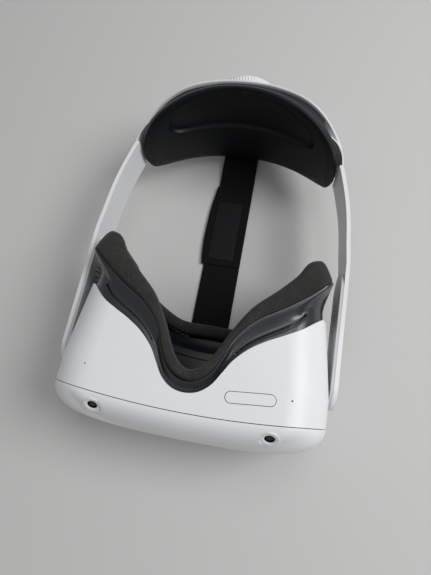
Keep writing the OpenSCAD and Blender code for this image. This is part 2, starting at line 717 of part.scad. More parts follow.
module dial_pinion() color(dark_grey) {
    translate([0, rack_y, dial_z]) rotate([-90, 0, 0]) linear_extrude(rack_t)
        polygon([for (t = [0 : pinion_teeth - 1]) each let (a = 90 + t * 360 / pinion_teeth)
            concat([for (r = FLANK) polar(r, a - flank_angle(r))],
                [for (r = backwards(FLANK)) polar(r, a + flank_angle(r))])]);
    translate([0, rack_y + rack_t - 0.1, dial_z]) rotate([-90, 0, 0])
        cylinder(r = shaft_r, h = dial_y - 0.05 - rack_y - rack_t + 0.1);
    translate([0, dial_y - 0.3, dial_z]) rotate([-90, 0, 0]) cylinder(r = shaft_r - 1, h = 5.2);
}

module dial_bush() color([0.3, 0.3, 0.32]) translate([0, cradle_y + cradle_r - cradle_wall - 1.2, dial_z])
    rotate([-90, 0, 0]) difference() {
        union() {
            cylinder(r = shaft_r + 2.2, h = cradle_wall + 1);
            cylinder(r = shaft_r + 4, h = 1);
        }
        translate([0, 0, -1]) cylinder(r = shaft_r + run_gap, h = 20);
    }

// Straight rack, teeth towards -Z, with a tooth gap centred at x = 0
rack_l = cradle_travel + 16;
rack_h = 3;
module rack() {
    pitch = PI * tooth_m;
    half_tip = pitch / 4 - backlash / 2 - addendum * tan(pressure);
    half_root = pitch / 4 - backlash / 2 + dedendum * tan(pressure);
    translate([0, rack_t, 0]) rotate([90, 0, 0]) linear_extrude(rack_t) {
        translate([-rack_l / 2 - 7, pitch_r + dedendum - 0.01]) square([rack_l, rack_h]);
        for (i = [-6 : 1]) translate([(i + 0.5) * pitch, 0])
            polygon([[-half_tip, pitch_r - addendum], [half_tip, pitch_r - addendum],
                [half_root, pitch_r + dedendum], [-half_root, pitch_r + dedendum]]);
    }
}
module rack_left() color(light_grey) translate([0, rack_y, dial_z]) rack();
module rack_right() color(light_grey) translate([0, rack_y, dial_z]) rotate([0, 180, 0]) rack();

// Flexible nylon strip from the arm's end, round behind the pad's frame, to its rack
strip_h = 23;
STRIP = [[87.6, 209.4], [86.2, 219], [81, 229.3], [70, 237.9], [55, 247], [40, 252.6], [25, 256.6],
    [22.4, 257.1]];
module strip() translate([0, 0, dial_z - strip_h / 2]) linear_extrude(strip_h)
    let (line = smooth(STRIP)) polygon(concat(line, backwards([for (q = line)
        [q[0] - 1.1 * q[0] / 88, q[1] - 1.2 + 1.1 * q[0] / 88]])));
module strip_right() color(white) strip();
module strip_left() color(white) mirror([1, 0, 0]) strip();

// --- top strap ---

module strap_run(line) translate([strap_x - strap_w / 2, 0, 0]) along_x(0, strap_w)
    polygon(concat(line, backwards([for (q = line) [q[0], q[1] + strap_t]])));
module top_strap_front() color([0.08, 0.08, 0.1])
    strap_run([[BROW_EDGE[0][1] + 10, strap_z0], [strap_seam_y, strap_z0]]);
module top_strap_rear() color([0.08, 0.08, 0.1])
    strap_run(concat([[strap_seam_y, strap_z0]], smooth([[200, strap_z0], [220, 1.2], [235, 3.4],
        [anchor_y, 5.4]]), [[anchor_y + 6, 5.4]]));

front_shell();
body_shell();
inner_bezel();
chassis_plate();
mainboard();
heat_sink();
fan_frame();
fan_rotor();
display_panel();
battery_pack();
lens_rails();
lens_carriage_left();
lens_carriage_right();
lens_left();
lens_right();
tracking_camera_1();
tracking_camera_2();
tracking_camera_3();
tracking_camera_4();
microphones();
proximity_sensor();
chassis_screws();
port_board();
usb_port();
audio_jack();
volume_rocker();
rocker_mount();
power_button();
power_switch();
pivot_pins();
face_frame();
foam_rim();
front_strap_anchor();
arm_left();
arm_right();
speaker_arm_left();
speaker_arm_right();
speaker_left();
speaker_right();
cradle_shell();
cradle_frame();
head_pad();
rear_strap_anchor();
dial_knob();
dial_pinion();
dial_bush();
rack_left();
rack_right();
strip_left();
strip_right();
top_strap_front();
top_strap_rear();
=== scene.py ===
import json
import math

import bmesh
import bpy
import numpy as np
from mathutils import Matrix, Vector


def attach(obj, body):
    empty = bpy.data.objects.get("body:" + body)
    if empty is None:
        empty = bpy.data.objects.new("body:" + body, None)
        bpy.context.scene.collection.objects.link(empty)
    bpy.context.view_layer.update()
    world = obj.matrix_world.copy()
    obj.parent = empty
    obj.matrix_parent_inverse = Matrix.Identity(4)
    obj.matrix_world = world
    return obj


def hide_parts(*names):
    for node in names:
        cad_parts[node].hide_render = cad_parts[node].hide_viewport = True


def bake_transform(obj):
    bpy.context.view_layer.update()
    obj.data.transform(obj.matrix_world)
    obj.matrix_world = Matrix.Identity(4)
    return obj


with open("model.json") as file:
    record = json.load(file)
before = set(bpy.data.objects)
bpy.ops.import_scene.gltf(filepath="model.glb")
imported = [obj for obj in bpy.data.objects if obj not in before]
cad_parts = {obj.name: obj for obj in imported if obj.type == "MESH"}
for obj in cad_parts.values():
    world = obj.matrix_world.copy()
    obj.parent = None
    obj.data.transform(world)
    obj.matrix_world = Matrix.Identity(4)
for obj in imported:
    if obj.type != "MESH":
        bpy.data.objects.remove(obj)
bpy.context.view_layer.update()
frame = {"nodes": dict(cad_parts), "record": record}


# --- camera -------------------------------------------------------------------------------
# Looks down on the headset from a little in front of the visor, as a person standing over it
# would, with the visor near and the head pad far.
eye = bpy.data.cameras.new("camera")
eye.sensor_fit = "VERTICAL"
eye.sensor_height = 36.0
eye.lens = 27.2
eye.clip_start = 0.01
camera = bpy.data.objects.new("camera", eye)
bpy.context.scene.collection.objects.link(camera)
camera.matrix_world = Matrix((
    (0.9812, -0.1539, 0.1163, 0.04218),
    (0.1822, 0.9374, -0.2969, -0.00949),
    (-0.0633, 0.3125, 0.9478, 0.38452),
    (0, 0, 0, 1)))
bpy.context.scene.camera = camera


# --- white shells of the visor ------------------------------------------------------------
# Injection moulded from white PC/ABS, 2 mm thick, with a fine spark-eroded grain that gives a
# satin surface. Front and body shells meet in a bowed parting line and are screwed together
# from inside.
def linear(code):
    parts = [int(code[i:i + 2], 16) / 255 for i in (1, 3, 5)]
    return [c / 12.92 if c <= 0.04045 else ((c + 0.055) / 1.055) ** 2.4 for c in parts] + [1.0]


def new_node(tree, kind, inputs, **settings):
    """A node in a tree, whose inputs are plain values or links from other nodes' outputs."""
    made = tree.nodes.new(kind)
    for key, value in settings.items():
        setattr(made, key, value)
    for key, value in inputs.items():
        if isinstance(value, bpy.types.NodeSocket):
            tree.links.new(value, made.inputs[key])
        else:
            made.inputs[key].default_value = value
    return made


def add(mat, kind, inputs, **settings):
    return new_node(mat.node_tree, "ShaderNode" + kind, inputs, **settings)


def blank(name):
    mat = bpy.data.materials.new(name)
    mat.use_nodes = True
    mat.node_tree.nodes.clear()
    return mat


def shown(mat, shader):
    add(mat, "OutputMaterial", {"Surface": shader.outputs[0]})
    return mat


def moulded(name, light, dark, rough, grain_mm, depth_mm, coat=0.0):
    """Moulded plastic: slight tone drift over centimetres, and a fine grain in the surface."""
    mat = blank(name)
    place = add(mat, "TexCoord", {}).outputs["Object"]
    drift = add(mat, "TexNoise", {"Vector": place, "Scale": 28.0, "Detail": 3.0})
    tone = add(mat, "Mix", {0: drift.outputs["Fac"], 6: linear(light), 7: linear(dark)}, data_type="RGBA")
    grain = add(mat, "TexNoise", {"Vector": place, "Scale": 1000.0 / grain_mm, "Detail": 2.0})
    matt = add(mat, "MapRange", {
        "Value": grain.outputs["Fac"], "To Min": rough - 0.05, "To Max": rough + 0.05})
    bump = add(mat, "Bump", {"Height": grain.outputs["Fac"], "Strength": 0.35, "Distance": depth_mm / 1000})
    return shown(mat, add(mat, "BsdfPrincipled", {
        "Base Color": tone.outputs[2], "Roughness": matt.outputs[0], "Normal": bump.outputs[0],
        "Coat Weight": coat, "Coat Roughness": 0.25}))


# PC/ABS in cool white; the grain is 0.3 mm on the real shell and drawn at 0.8 mm to show
white_abs = moulded("white_abs_grained", "#E9EAEC", "#E1E3E5", 0.42, 0.8, 0.03)
black_pc = moulded("black_pc_satin", "#212429", "#1A1D21", 0.3, 0.9, 0.03, coat=0.4)


def solid(name, points, faces, mat, smooth=True):
    """A mesh object from points in millimetres, with its place in its mesh."""
    data = bpy.data.meshes.new(name)
    data.from_pydata([tuple(c / 1000 for c in p) for p in points], [], [tuple(f) for f in faces])
    work = bmesh.new()
    work.from_mesh(data)
    bmesh.ops.remove_doubles(work, verts=work.verts, dist=1e-6)
    bmesh.ops.dissolve_degenerate(work, edges=work.edges, dist=1e-7)
    bmesh.ops.recalc_face_normals(work, faces=work.faces)
    work.to_mesh(data)
    work.free()
    data.materials.append(mat)
    for face in data.polygons:
        face.use_smooth = smooth
    obj = bpy.data.objects.new(name, data)
    bpy.context.scene.collection.objects.link(obj)
    return obj


def baked(obj):
    """Turns an object's modifiers into a plain mesh."""
    graph = bpy.context.evaluated_depsgraph_get()
    graph.update()
    made = bpy.data.meshes.new_from_object(obj.evaluated_get(graph), depsgraph=graph)
    obj.modifiers.clear()
    obj.data = made
    return obj


def modified(obj, kind, **settings):
    mod = obj.modifiers.new(kind, kind)
    for key, value in settings.items():
        setattr(mod, key, value)
    return mod


def rounded_edges(obj, width_mm, angle=40, segments=3):
    modified(obj, "BEVEL", width=width_mm / 1000, segments=segments, limit_method="ANGLE",
             angle_limit=math.radians(angle), harden_normals=False)
    modified(obj, "WEIGHTED_NORMAL", keep_sharp=True)


def loft(rings, closed_ring=True, closed_path=False, caps=False):
    """Points and faces of a skin over a list of equal rings."""
    n = len(rings[0])
    points = [p for ring in rings for p in ring]
    faces = []
    for i in range(len(rings) - (0 if closed_path else 1)):
        a, b = i * n, ((i + 1) % len(rings)) * n
        for k in range(n if closed_ring else n - 1):
            m = (k + 1) % n
            faces.append((a + k, a + m, b + m, b + k))
    if caps:
        faces += [tuple(range(n))[::-1], tuple(range((len(rings) - 1) * n, len(rings) * n))]
    return points, faces


def curve_through(pts, steps=8):
    """Catmull-Rom points through a list of points, as the CAD outlines are smoothed."""
    out = []
    for i in range(len(pts) - 1):
        a, b, c, d = (np.array(pts[max(0, min(len(pts) - 1, i + k))], float) for k in (-1, 0, 1, 2))
        for k in range(steps):
            t = k / steps
            out.append(0.5 * (2 * b + (c - a) * t + (2 * a - 5 * b + 4 * c - d) * t * t
                              + (3 * b - a - 3 * c + d) * t ** 3))
    return np.array(out + [np.array(pts[-1], float)])


def half_curve(pts):
    """The same curve from the middle outwards, level where it crosses the middle."""
    dense = curve_through([[-pts[1][0], pts[1][1]]] + pts)
    return dense[dense[:, 0] >= 0]


def read(curve, x):
    return float(np.interp(abs(x), curve[:, 0], curve[:, 1]))


def lengths(line):
    """Running length along a line of points, from 0."""
    return np.concatenate([[0], np.cumsum(np.hypot(*np.diff(line, axis=0).T))])


def evenly_spaced(loop, count):
    """Points at even distances round a loop whose last point is its first."""
    loop = np.array(loop)
    run = lengths(loop)
    at = np.linspace(0, run[-1], count, endpoint=False)
    return list(zip(np.interp(at, run, loop[:, 0]), np.interp(at, run, loop[:, 1])))


def ring_outline(half_w, low, high, radius, count):
    """Evenly spaced points on a rounded rectangle seen from the front, from top middle round."""
    arc_steps = 32
    corners = [(half_w - radius, high - radius, 90), (half_w - radius, low + radius, 0),
               (radius - half_w, low + radius, -90), (radius - half_w, high - radius, -180)]
    pts = [(0.0, high)]
    for cx, cz, a0 in corners:
        for k in range(arc_steps + 1):
            a = math.radians(a0 - 90 * k / arc_steps)
            pts.append((cx + radius * math.cos(a), cz + radius * math.sin(a)))
    return evenly_spaced(pts + [(0.0, high)], count)


def squarer(c, power):
    """A sine or cosine raised so that its circle becomes a squarer ring."""
    return math.copysign(abs(c) ** power, c)


# Millimetres from here on, except where a mesh or a modifier is given metres
HALF_W, HEIGHT, MID_Z = 95.75, 102.0, 51.0
CORNER_R = 32
WALL = 2.0
SHELL_END = 72.5
# Behind TAPER_FROM each side draws in by TAPER_IN over TAPER_LENGTH
TAPER_FROM, TAPER_IN, TAPER_LENGTH = 20, 7.75, 56
# The parting line bows forward by BOW in the middle and crosses y = 0 at BOW_HALF_W
BOW, BOW_HALF_W = 6.2, 89
SEAM_GAP = 0.25  # how far each shell stops short of the parting line
OUTLINE_POINTS = 520
nose_edge = half_curve([[0, 6.3], [9, 8.2], [16.5, 14], [22, 22.5], [28, 32], [37, 41], [47.5, 48],
                        [58, 53.5], [70, 60.5], [84, SHELL_END]])
brow_edge = half_curve([[0, 48], [30, 50.5], [55, 57], [72, 65], [84, SHELL_END]])
visor_outline = ring_outline(HALF_W, 0, HEIGHT, CORNER_R, OUTLINE_POINTS)


def parting(x):
    return -BOW + BOW * (x / BOW_HALF_W) ** 2


def taper(y):
    return 1 - max(0.0, y - TAPER_FROM) * TAPER_IN / TAPER_LENGTH / HALF_W


def smoothstep(lo, hi, v):
    t = min(1.0, max(0.0, (v - lo) / (hi - lo)))
    return t * t * (3 - 2 * t)


def shell_edge(x, z):
    """Depth of the body shell's rear edge: the nose side above, the brow side below."""
    up = smoothstep(MID_Z - 8, MID_Z + 8, z)
    return read(brow_edge, x) * (1 - up) + read(nose_edge, x) * up


BODY_STEPS = 24
rows = []
for k in range(BODY_STEPS + 1):
    row = []
    for x0, z0 in visor_outline:
        # The taper depends on the depth and the depth on the taper, so this settles by repeats
        y_end = shell_edge(x0, z0)
        for _ in range(3):
            y_end = shell_edge(x0 * taper(y_end), z0)
        y_start = parting(x0) + SEAM_GAP
        y = y_start + (y_end - y_start) * k / BODY_STEPS
        row.append((x0 * taper(y), y, z0))
    rows.append(row)
body = solid("visor_body_shell", *loft(rows), white_abs)
# Its inside is given the face frame's satin black, as painted shade where the inside shows through the seam
# and the holes
body.data.materials.append(black_pc)
modified(body, "SOLIDIFY", thickness=WALL / 1000, offset=-1, material_offset=1)


def pill(name, length, radius, low, high, matrix, count):
    """A block with a pill-shaped outline in the matrix's XY, from low to high along its Z."""
    ring = []
    for k in range(count):
        a = 2 * math.pi * k / count
        shift = (length / 2 - radius) * (1 if math.cos(a) >= 0 else -1)
        ring.append((shift + radius * math.cos(a), radius * math.sin(a)))
    pts, faces = loft([[matrix @ Vector((x, y, z)) for x, y in ring] for z in (low, high)], caps=True)
    return solid(name, pts, faces, white_abs)


def drill(piece, name, length, radius, reach, matrix):
    """Cuts a pill-shaped hole that reaches as far above the matrix's XY as below it."""
    cutter = pill(name, length, radius, -reach, reach, matrix, 48)
    modified(piece, "BOOLEAN", operation="DIFFERENCE", object=cutter, solver="EXACT")
    return cutter


def turn(axis, degrees):
    return Matrix.Rotation(math.radians(degrees), 4, axis)


def on_side(x, y, z):
    """A place on a side wall, with local X along the wall's depth and local Z across the visor."""
    return Matrix.Translation((x, y, z)) @ turn("Z", 90) @ turn("X", 90)


ROCKER = Matrix.Translation((42.7, 10, HEIGHT)) @ turn("Z", 5.5)
MIC_X, MIC_Y = 68.7, 13.3
POWER_Y, POWER_Z = 52, 25
EDGE_ROUND = 0.45
# Name, length, radius and reach of each hole, then its place
HOLES = [("cut_rocker", 32.9, 3.95, 6, ROCKER),
         ("cut_mic", 1.3, 0.65, 8, Matrix.Translation((-MIC_X, MIC_Y, HEIGHT))),
         ("cut_mic", 1.3, 0.65, 8, Matrix.Translation((MIC_X, MIC_Y, HEIGHT))),
         ("cut_power", 12.7, 2.85, 12, on_side(90.4, POWER_Y, POWER_Z)),
         ("cut_usb", 9.6, 1.95, 12, on_side(-90.4, 60, 25.7)),
         ("cut_jack", 6.6, 3.3, 12, on_side(-92, 46, 27))]
cutters = [drill(body, *hole) for hole in HOLES]
rounded_edges(body, EDGE_ROUND)
baked(body)
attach(body, "visor")
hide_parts("body_shell")

# The front shell bulges forward from the parting line, flat in front and rounded to its rim.
# Its rings follow the rounding first, up to FLAT_FROM degrees, and then shrink over the flat
# face to a small hole that a fan of triangles closes. The bulge is squarer at the two sides.
BULGE = 17.5
FLAT_FROM = 80
RIM_RINGS, FACE_RINGS = 28, 8
LAST_HOLE = 0.02
MIDDLE_POWER, SIDE_POWER = 2.6, 8.0
rows = []
for k in range(RIM_RINGS + FACE_RINGS):
    row = []
    for x0, z0 in visor_outline:
        at_side = smoothstep(0.78, 1.0, abs(x0) / HALF_W)
        power = MIDDLE_POWER + (SIDE_POWER - MIDDLE_POWER) * at_side
        if k < RIM_RINGS:
            rho = math.cos(math.radians(FLAT_FROM * k / (RIM_RINGS - 1))) ** (2 / power)
        else:
            left = (RIM_RINGS + FACE_RINGS - 1 + LAST_HOLE - k) / FACE_RINGS
            rho = math.cos(math.radians(FLAT_FROM)) ** (2 / power) * left
        x = rho * x0
        row.append((x, parting(x) - SEAM_GAP - BULGE * math.sqrt(max(0, 1 - rho ** power)),
                    MID_Z + rho * (z0 - MID_Z)))
    rows.append(row)
points, faces = loft(rows)
last = len(points) - OUTLINE_POINTS
points.append((0, parting(0) - SEAM_GAP - BULGE, MID_Z))
faces += [(last + k, last + (k + 1) % OUTLINE_POINTS, len(points) - 1) for k in range(OUTLINE_POINTS)]
front = solid("visor_front_shell", points, faces, white_abs)
modified(front, "SOLIDIFY", thickness=WALL / 1000, offset=-1)
# Place of the upper and lower camera on one side, then degrees turned outwards and upwards
UPPER_CAMERA, LOWER_CAMERA = (58.3, -12.3, 96.7, 0, 37), (83, -9.6, 17, 38, -32)
CAMERA_HOLE_R = 6.7
seats = [Matrix.Translation((s * x, y, z)) @ turn("Z", s * outwards) @ turn("X", 90 - upwards)
         for x, y, z, outwards, upwards in (UPPER_CAMERA, LOWER_CAMERA) for s in (-1, 1)]
for seat in seats:
    cutters.append(drill(front, "cut_camera", 2 * CAMERA_HOLE_R, CAMERA_HOLE_R, 7, seat))
rounded_edges(front, EDGE_ROUND)
baked(front)
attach(front, "visor")
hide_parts("front_shell")
for cutter in cutters:
    bpy.data.objects.remove(cutter)


# --- tracking cameras ---------------------------------------------------------------------
# A black camera barrel sits behind a glass window at the bottom of a shallow white dish that
# is moulded as a ring and pressed into the front shell.
def turned(profile, matrix, count=64):
    """A closed ring of revolution about the matrix's Z, from (radius, height) points."""
    rings = [[matrix @ Vector((r * math.cos(a), r * math.sin(a), h)) for r, h in profile]
             for a in (2 * math.pi * k / count for k in range(count))]
    return loft(rings, closed_path=True)


def joined(parts):
    points, faces = [], []
    for pts, fcs in parts:
        faces += [tuple(i + len(points) for i in f) for f in fcs]
        points += list(pts)
    return points, faces


dishes = solid("camera_dishes", *joined([turned(
    [(6.65, -0.5), (6.3, -0.3), (3.7, -0.7), (3.35, -0.95), (3.3, -2.8), (6.65, -2.8)], seat)
    for seat in seats]), white_abs)
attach(dishes, "visor")

# Coated optical glass over black: almost no colour of its own, with a hard clear gloss
camera_glass = blank("black_camera_glass")
shown(camera_glass, add(camera_glass, "BsdfPrincipled", {
    "Base Color": linear("#050607"), "Roughness": 0.08, "IOR": 1.5}))
windows = solid("camera_windows", *joined([turned(
    [(0.001, -1.15), (1.4, -1.25), (3.15, -1.6), (3.15, -1.88), (0.001, -1.88)], seat)
    for seat in seats]), camera_glass)
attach(windows, "visor")


# --- volume rocker and power button -------------------------------------------------------
# Two loose caps of the shells' own plastic that stand a hair proud of the wall and press
# switches inside.
def cap(name, length, width, low, high, matrix, body_name, node):
    piece = pill(name, length, width / 2, low, high, matrix, 64)
    rounded_edges(piece, 0.4)
    baked(piece)
    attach(piece, body_name)
    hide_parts(node)
    return piece


cap("volume_rocker_cap", 32.2, 7.2, -2.4, 0.1, ROCKER, "volume", "volume_rocker")
power_x = HALF_W * taper(POWER_Y)
cap("power_button_cap", 12, 5, -4.4, 0.8, on_side(power_x, POWER_Y, POWER_Z), "power", "power_button")


# --- face frame ---------------------------------------------------------------------------
# The removable black frame that plugs into the body shell and carries the foam: moulded PC,
# satin blue-black, hollowed between the shell's edge and the foam.
cheek_front = half_curve([[0, 13.7], [8.5, 16], [16, 23], [21.5, 34], [27, 47.5], [39, 61], [58, 73.5],
                          [72, 84], [81, 92], [87.5, 98]])
brow_front = half_curve([[0, 60], [25, 61], [47, 71], [62, 82], [75, 92], [87.5, 98]])


def foam_edge(x, z):
    up = smoothstep(MID_Z - 12, MID_Z + 12, z)
    return read(brow_front, x) * (1 - up) + read(cheek_front, x) * up


# Rings from the shell to the foam: shift in y, share of the way there, and inset from the wall
FRAME_PROFILE = [(-5.5, 0, 2.6), (0.4, 0, 2.6), (0.4, 0.06, 2.9), (0, 0.15, 3.1), (0, 0.17, 3.2),
                 (0, 0.23, 3.4), (0, 0.25, 3.5), (0, 0.35, 3.9), (0, 0.55, 4.4), (0, 0.78, 4.0),
                 (0, 0.88, 3.3), (0, 0.92, 2.3), (0, 0.96, 2.0), (-0.2, 1.0, 2.2)]
# A vent groove runs over each cheek between these distances from the middle, in two rings
VENT_FROM, VENT_TO, VENT_DEPTH = 30, 78, 2.2
VENT_RINGS = (4, 5)
foam_side = ring_outline(87.3, 5.3, 101.0, 7, OUTLINE_POINTS)
rows = []
for number, (shift, part, inset0) in enumerate(FRAME_PROFILE):
    row = []
    for (x0, z0), (x1, z1) in zip(visor_outline, foam_side):
        vent = smoothstep(VENT_FROM - 1, VENT_FROM + 1, abs(x0))
        vent *= smoothstep(VENT_TO + 1, VENT_TO - 1, abs(x0)) * (z0 > MID_Z) * (number in VENT_RINGS)
        inset = inset0 + VENT_DEPTH * vent
        # The outline's own direction outwards, which turns only round its corners
        over_x, over_z = max(0, abs(x0) - (HALF_W - CORNER_R)), max(0, abs(z0 - MID_Z) - (MID_Z - CORNER_R))
        size = math.hypot(over_x, over_z) or 1
        nx, nz = math.copysign(over_x / size, x0), math.copysign(over_z / size, z0 - MID_Z)
        y0, y1 = shell_edge(x0, z0), foam_edge(x1, z1)
        y = y0 + (y1 - y0) * part + shift
        flare = smoothstep(0.25, 1.0, part)
        x, z = (x0 - nx * inset) * taper(min(y, SHELL_END)), z0 - nz * inset
        row.append((x + (x1 - x) * flare, y, z + (z1 - z) * flare))
    rows.append(row)
face_frame = solid("face_frame_skin", *loft(rows), black_pc)
modified(face_frame, "SOLIDIFY", thickness=0.0018, offset=-1)
rounded_edges(face_frame, 0.4)
baked(face_frame)
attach(face_frame, "face_interface")
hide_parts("face_frame")


# --- foam rim -----------------------------------------------------------------------------
# Polyurethane foam wrapped in a dark warm-grey knit, rolled over the rim that meets the face.
# It narrows round the nose and widens into a lobe at each temple.
def knit(name, light, dark, pitch_mm, sheen):
    """Fine knit over foam: a speckle of loops, slightly fuzzy."""
    mat = blank(name)
    place = add(mat, "TexCoord", {}).outputs["Object"]
    loops = add(mat, "TexVoronoi", {"Vector": place, "Scale": 1000.0 / pitch_mm})
    patch = add(mat, "TexNoise", {"Vector": place, "Scale": 120.0, "Detail": 4.0})
    depth = add(mat, "MapRange", {"Value": loops.outputs["Distance"], "From Max": 0.7})
    both = add(mat, "Math", {0: depth.outputs[0], 1: patch.outputs["Fac"]}, operation="MULTIPLY")
    tone = add(mat, "Mix", {0: both.outputs[0], 6: linear(dark), 7: linear(light)}, data_type="RGBA")
    bump = add(mat, "Bump", {"Height": depth.outputs[0], "Strength": 0.6, "Distance": 0.0004})
    return shown(mat, add(mat, "BsdfPrincipled", {
        "Base Color": tone.outputs[2], "Roughness": 0.92, "Normal": bump.outputs[0],
        "Sheen Weight": sheen, "Sheen Roughness": 0.5}))


# The loops are 0.5 mm apart on the real cover and drawn at 1.1 mm to show
foam_knit = knit("foam_cover_knit", "#3A3937", "#151514", 1.1, 0.12)


SWELL_FRAMES = 20


def swollen(piece, cap_mm, held=()):
    """Lets a cover's cloth blow up over its foam, with each point's move capped and the points
    numbered in held kept where they are. The cover ends smoothed and plain."""
    rest = np.empty(len(piece.data.vertices) * 3)
    piece.data.vertices.foreach_get("co", rest)
    cloth = piece.modifiers.new("cloth", "CLOTH")
    if len(held):
        piece.vertex_groups.new(name="held").add([int(i) for i in held], 1.0, "REPLACE")
        cloth.settings.vertex_group_mass = "held"
    cloth.settings.use_pressure = True
    cloth.settings.uniform_pressure_force = 4
    cloth.settings.effector_weights.gravity = 0
    for step in range(1, SWELL_FRAMES + 1):
        bpy.context.scene.frame_set(step)
    graph = bpy.context.evaluated_depsgraph_get()
    moved = np.empty(len(rest))
    evaluated = piece.evaluated_get(graph)
    evaluated.data.vertices.foreach_get("co", moved)
    piece.modifiers.clear()
    bpy.context.scene.frame_set(1)
    move = (moved - rest).reshape(-1, 3)
    if not len(held):
        move -= move.mean(axis=0)
    size = np.linalg.norm(move, axis=1, keepdims=True)
    move *= np.minimum(1, cap_mm / 1000 / np.maximum(size, 1e-9))
    piece.data.vertices.foreach_set("co", rest + move.ravel())
    modified(piece, "SUBSURF", levels=1, render_levels=1)
    baked(piece)
    for face in piece.data.polygons:
        face.use_smooth = True


# Stations round the right half: front edge x, y, then rear edge x, y, then the place on the
# outline, which runs along the cheek, down the temple and back along the brow.
station = [(0, 13.9, 0, 21.6, 0), (8.5, 16.2, 6.2, 24.4, 8.5), (16, 23.2, 11.3, 30.3, 16),
           (21.5, 34.2, 15.6, 38, 21.5), (27, 47.7, 21.9, 51.6, 27), (39, 61.2, 33, 70.4, 39),
           (58, 73.7, 49, 85.6, 57), (70, 82.5, 60.5, 98.5, 69), (79, 90.5, 68.5, 109.5, 78.5),
           (85.5, 96.5, 77, 113.4, 90), (87, 98, 79, 113.4, 102), (87, 98, 79, 113, 129),
           (87, 98, 79, 113, 156), (83, 96, 74, 110.5, 168), (73, 89.5, 64, 101, 181),
           (60, 80.8, 54, 91.5, 196), (47, 71.3, 44, 82, 211), (25, 61.3, 24, 72, 233),
           (0, 60.3, 0, 71.3, 258)]
last_place = station[-1][4]
path = curve_through(station, 6)
foam_outline = np.array(ring_outline(88.2, 4.7, 101.6, 6.5, 720))
run = lengths(foam_outline)
half_run = (run[-1] + np.hypot(*(foam_outline[0] - foam_outline[-1]))) / 2
TURN_OVER = 13  # mm of outline either side over which the rim's depth swings round a corner
HALF_DEPTH, TEMPLE_LESS = 7.4, 3.4  # half the cushion's depth, and what it loses at the temples
FOAM_SQUARE = 0.55
RIM_POINTS = 28
rows = []
for fx, fy, rx, ry, s in path:
    at = s / last_place * half_run
    ox, oz = np.interp(at, run, foam_outline[:, 0]), np.interp(at, run, foam_outline[:, 1])
    before, after = max(0, at - TURN_OVER), min(half_run, at + TURN_OVER)
    step_x = np.interp(after, run, foam_outline[:, 0]) - np.interp(before, run, foam_outline[:, 0])
    step_z = np.interp(after, run, foam_outline[:, 1]) - np.interp(before, run, foam_outline[:, 1])
    size = math.hypot(step_x, step_z)
    inx, inz = step_z / size, -step_x / size
    at_temple = smoothstep(58, 90, s) * smoothstep(192, 165, s)
    half_deep = HALF_DEPTH - TEMPLE_LESS * at_temple
    row = []
    for k in range(RIM_POINTS):
        a = 2 * math.pi * k / RIM_POINTS
        across = 0.5 - 0.5 * squarer(math.cos(a), FOAM_SQUARE)
        deep = half_deep - half_deep * squarer(math.sin(a), FOAM_SQUARE)
        row.append((ox + (rx - fx) * across + inx * deep, fy + (ry - fy) * across, oz + inz * deep))
    rows.append(row)
mirror_rows = [[(-x, y, z) for x, y, z in row] for row in rows[-2:0:-1]]
foam = solid("foam_rim_cover", *loft(rows + mirror_rows, closed_path=True), foam_knit)
modified(foam, "REMESH", mode="VOXEL", voxel_size=0.0022, use_smooth_shade=True)
modified(foam, "SMOOTH", factor=0.5, iterations=3)
baked(foam)
swollen(foam, 1.4)
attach(foam, "face_interface")
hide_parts("foam_rim")


# --- side arms ----------------------------------------------------------------------------
# Outer arms: stiff white nylon bands, rounded at the pivot, straight along the visor and then
# bent inwards to the cradle. Inner plates: the visor's own light grey arms with the speakers.
grey_abs = moulded("light_grey_abs", "#C6C8CA", "#BDBFC2", 0.45, 0.8, 0.03)
PIVOT_Z, ARM_R = 56.8, 15.7
SIDES = (("left", -1), ("right", 1))


def upright_row(x, y, middle, half, steps):
    """Points up a flat band at one place along it."""
    return [(x, y, middle + half * (2 * k / steps - 1)) for k in range(steps + 1)]


def band(name, line, thickness, mat, rounded_end=False):
    """A flat band along a plan line of outer (x, y) points, with a half-round front end."""
    line = curve_through(line, 10)
    run = lengths(line)
    end = run[-1]
    # Rows are close together round an end, 6 degrees apart, and even along the band
    at = [ARM_R * (1 - math.cos(math.radians(6 * k))) for k in range(16)]
    stop = end - ARM_R if rounded_end else end
    at += list(np.linspace(ARM_R, stop, 60))[1:]
    if rounded_end:
        at += [end - ARM_R * (1 - math.sin(math.radians(6 * k))) for k in range(1, 16)]
    rows = []
    for s in at:
        x, y = np.interp(s, run, line[:, 0]), np.interp(s, run, line[:, 1])
        lead = min(s, ARM_R, end - s if rounded_end else ARM_R)
        half = math.sqrt(max(0.05, ARM_R ** 2 - (ARM_R - lead) ** 2))
        rows.append(upright_row(x, y, PIVOT_Z, half, 12))
    piece = solid(name, *loft(rows, closed_ring=False), mat)
    modified(piece, "SOLIDIFY", thickness=thickness / 1000, offset=-1)
    rounded_edges(piece, 0.8)
    return piece


def face_outwards(piece, s):
    """Turns a band's faces away from the head, so that its thickness goes inwards."""
    work = bmesh.new()
    work.from_mesh(piece.data)
    for face in work.faces:
        if face.normal.x * s < 0:
            face.normal_flip()
    work.to_mesh(piece.data)
    work.free()


